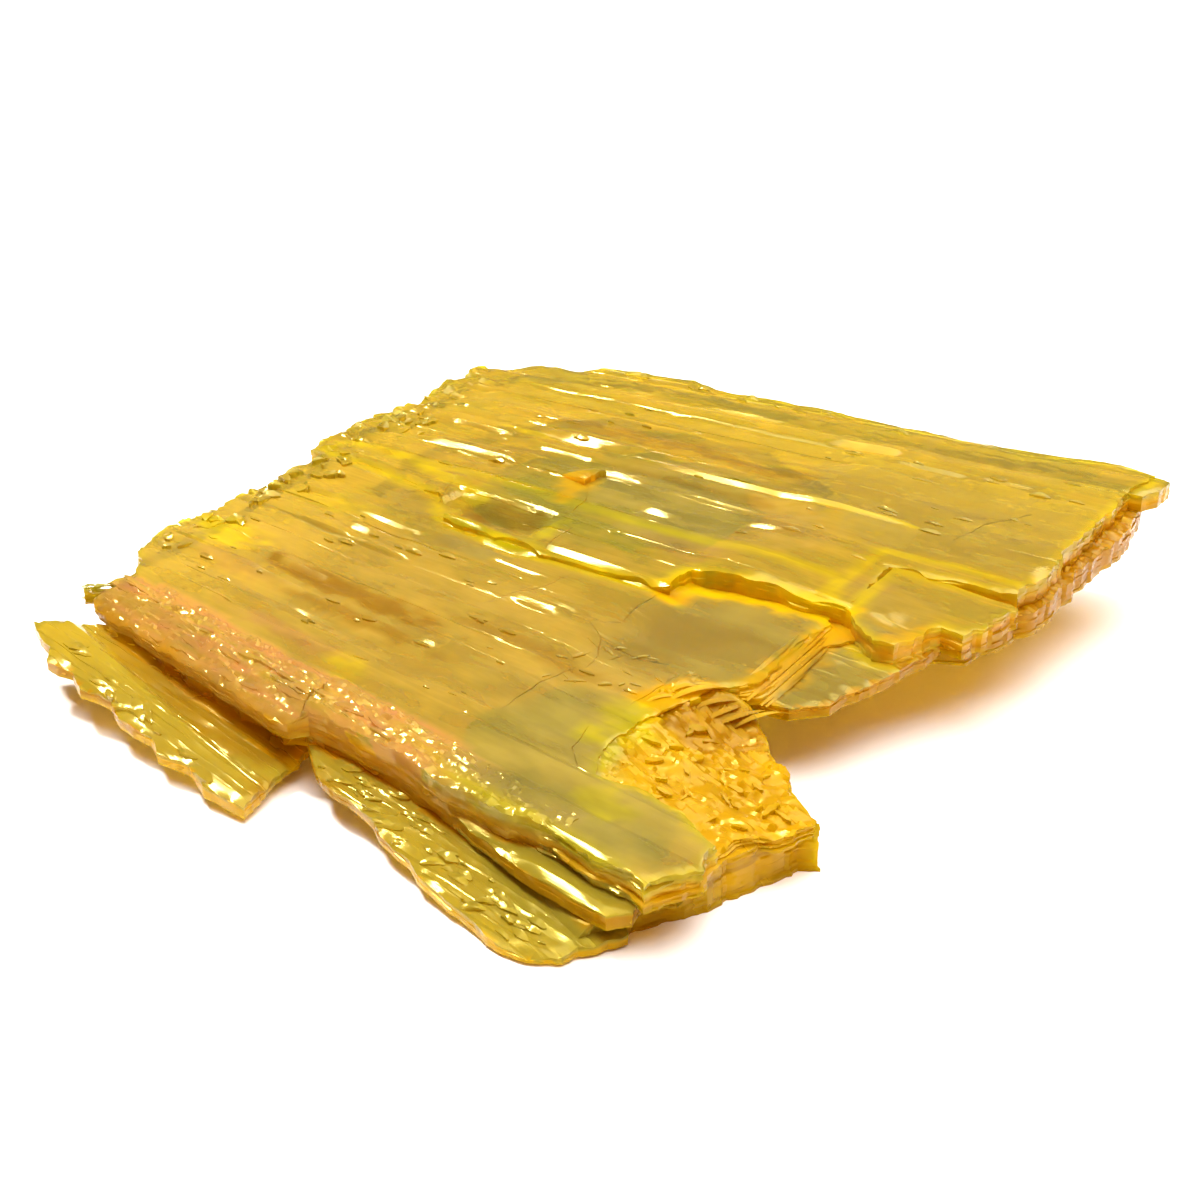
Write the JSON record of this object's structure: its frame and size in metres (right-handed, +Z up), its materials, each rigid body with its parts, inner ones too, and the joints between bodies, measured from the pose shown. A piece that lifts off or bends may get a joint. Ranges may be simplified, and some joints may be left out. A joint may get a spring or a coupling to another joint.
{
  "type": "orpiment specimen",
  "caption": "Flat, golden yellow cleavage plate of orpiment: stacked thin leaves with long striations, stepped risers, ragged broken ends and an overhanging wing.",
  "frame": {"origin": "on the surface the plate rests on, under the middle of its outline", "axes": "+X along the striations, +Y across them from the low near edge to the high far edge, +Z up"},
  "size_m": [0.0419, 0.0456, 0.0079],
  "materials": {
    "orpiment": "pearly to resinous cleavage faces, translucent golden yellow"
  },
  "bodies": {
    "root": {"orpiment_plate": "orpiment"}
  },
  "joints": []
}
